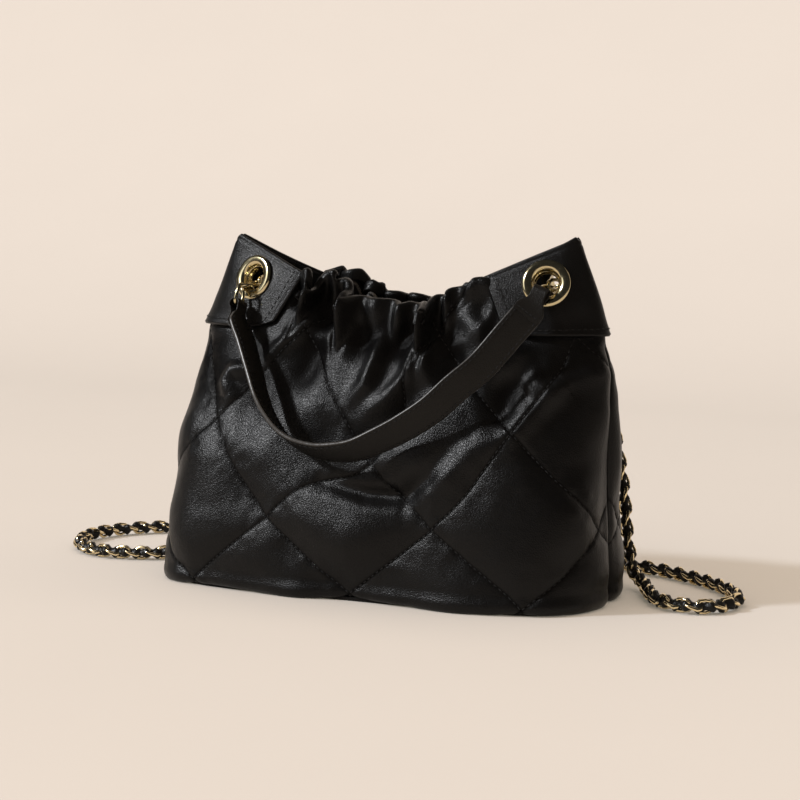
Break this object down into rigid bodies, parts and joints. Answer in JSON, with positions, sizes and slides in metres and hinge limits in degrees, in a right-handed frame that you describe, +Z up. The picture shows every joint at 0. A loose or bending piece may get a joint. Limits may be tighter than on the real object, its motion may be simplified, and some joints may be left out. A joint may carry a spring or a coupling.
{
  "type": "bucket bag",
  "caption": "Small leather bucket bag with quilted body, gathered elastic mouth, folded side ears with eyelets, a short swinging handle and a leather-laced chain strap.",
  "frame": {"origin": "centre of the base on the floor the bag stands on", "axes": "+X to the bag's right as seen from the front, -Y to the front, +Z up"},
  "size_m": [0.4192, 0.167, 0.1908],
  "materials": {
    "quilted_leather": "semi-gloss, padded and diamond quilted",
    "smooth_leather": "semi-gloss, fine grain",
    "lining_fabric": "matte woven",
    "gold_metal": "polished pale gold plating",
    "laced_chain": "polished pale gold, laced with black leather",
    "elastic_band": "matte",
    "base_board": "matte",
    "zip_tape": "matte woven tape"
  },
  "bodies": {
    "bag": {"front_panel": "quilted_leather", "back_panel": "quilted_leather", "bottom_panel": "smooth_leather", "base_board": "base_board", "lining_base": "lining_fabric", "lining_front": "lining_fabric", "lining_back": "lining_fabric", "hem_facing_front": "smooth_leather", "hem_facing_back": "smooth_leather", "elastic_front": "elastic_band", "elastic_back": "elastic_band", "ear_left": "smooth_leather", "ear_facing_left": "smooth_leather", "eyelet_front_left": "gold_metal", "eyelet_washer_front_left": "gold_metal", "eyelet_back_left": "gold_metal", "eyelet_washer_back_left": "gold_metal", "ear_right": "smooth_leather", "ear_facing_right": "smooth_leather", "eyelet_front_right": "gold_metal", "eyelet_washer_front_right": "gold_metal", "eyelet_back_right": "gold_metal", "eyelet_washer_back_right": "gold_metal", "front_link_left": "gold_metal", "middle_link_left": "gold_metal", "back_link_left": "gold_metal", "front_link_right": "gold_metal", "middle_link_right": "gold_metal", "back_link_right": "gold_metal", "snap_stud": "gold_metal", "snap_cup": "gold_metal", "slip_pocket": "lining_fabric", "zip_pocket_pouch": "lining_fabric", "zip_tape": "zip_tape", "zip_teeth": "gold_metal", "zip_stop_left": "gold_metal", "zip_stop_right": "gold_metal", "chain_strap": "laced_chain"},
    "handle": {"handle_strap_outer": "smooth_leather", "handle_strap_backing": "smooth_leather", "handle_link_left": "gold_metal"},
    "zip_slider": {"zip_slider": "gold_metal"},
    "zip_pull": {"zip_pull": "gold_metal"}
  },
  "joints": [
    {"name": "handle_swing", "type": "hinge", "parent": "bag", "child": "handle", "pos_m": [0.00715, -0.0228, 0.16159], "axis": [-1, -0.0058, -0.0024], "range_deg": [0, 150]},
    {"name": "zip_slide", "type": "slide", "parent": "bag", "child": "zip_slider", "axis": [1, 0, 0], "range_m": [0, 0.078]},
    {"name": "zip_pull_swing", "type": "hinge", "parent": "zip_slider", "child": "zip_pull", "pos_m": [-0.035, 0.02025, 0.1115], "axis": [-1, 0, 0], "range_deg": [0, 110]}
  ]
}
